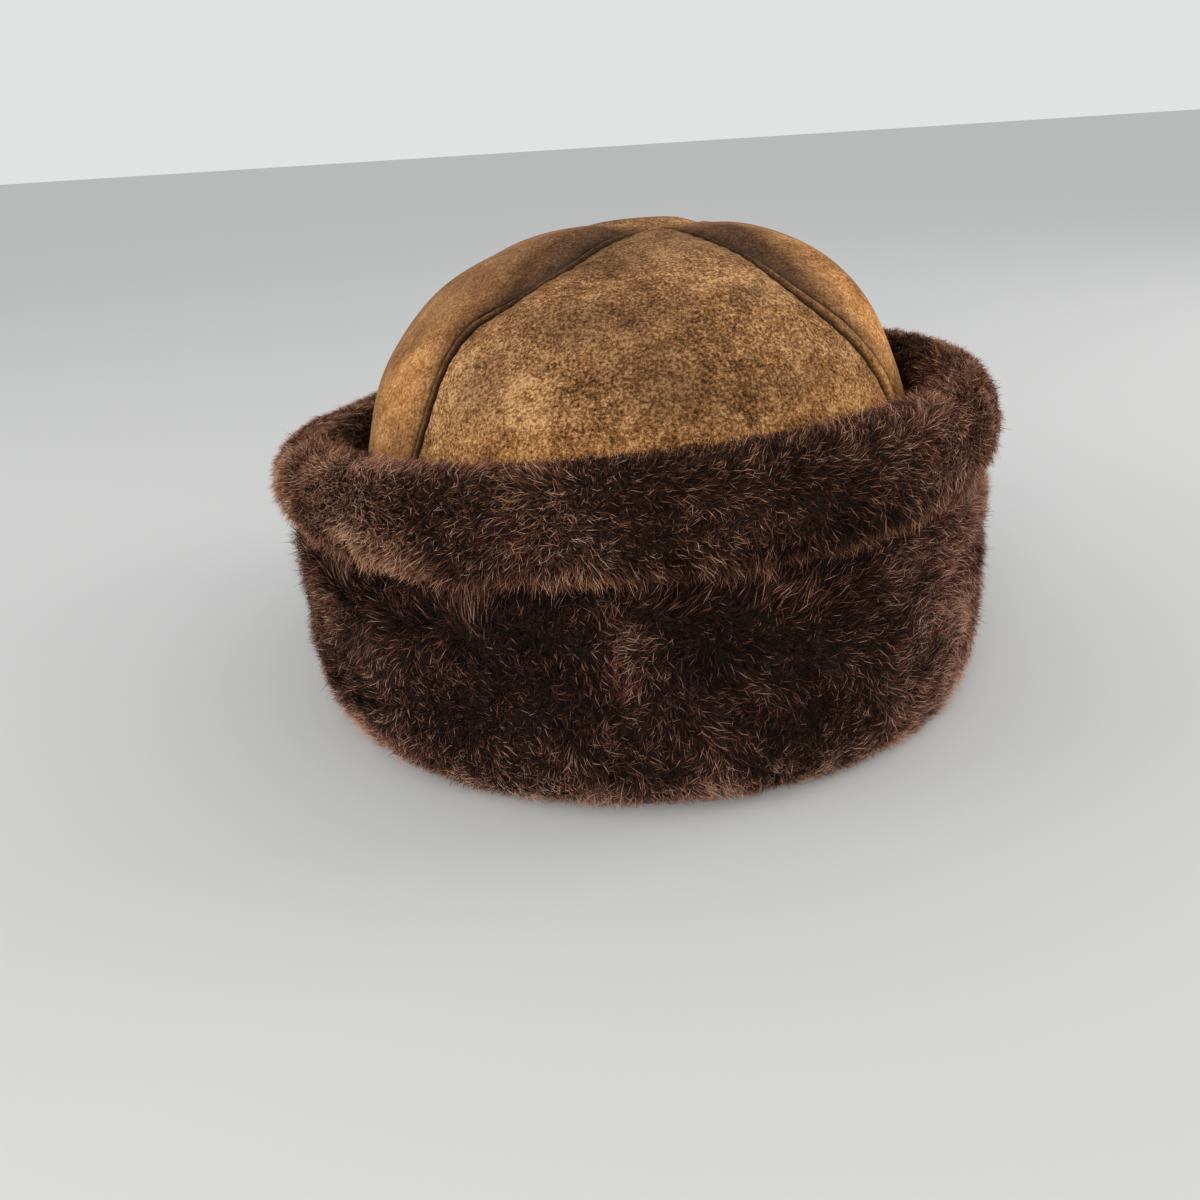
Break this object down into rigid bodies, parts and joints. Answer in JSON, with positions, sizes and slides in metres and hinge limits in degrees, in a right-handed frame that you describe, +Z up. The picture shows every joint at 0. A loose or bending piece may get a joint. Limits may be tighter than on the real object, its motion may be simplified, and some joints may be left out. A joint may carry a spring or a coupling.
{
  "type": "sheepskin hat",
  "caption": "Sheepskin hat with a domed suede crown of sewn gores and a deep turned-up cuff of dark brown fleece, open below for a head.",
  "frame": {"origin": "middle of the hat's outline in plan, on the surface that it rests on", "axes": "+Z up through the crown, -Y towards the wearer's front, +X to the right as seen from the front"},
  "size_m": [0.2571, 0.2786, 0.1533],
  "materials": {
    "front_suede": "brown suede with a short mottled nap",
    "side_suede": "tan suede, rubbed paler along the folds",
    "back_suede": "brown suede with a short mottled nap",
    "cuff_skin": "bare skin side of the cuff",
    "band_wool": "dense dark brown fleece in curling locks",
    "roll_wool": "dense dark brown fleece, brushed over the edge"
  },
  "bodies": {
    "root": {"gore_front": "front_suede", "gore_right": "side_suede", "gore_back": "back_suede", "gore_left": "side_suede", "cuff_hide": "cuff_skin", "cuff_fleece": "band_wool", "cuff_roll": "roll_wool"}
  },
  "joints": []
}
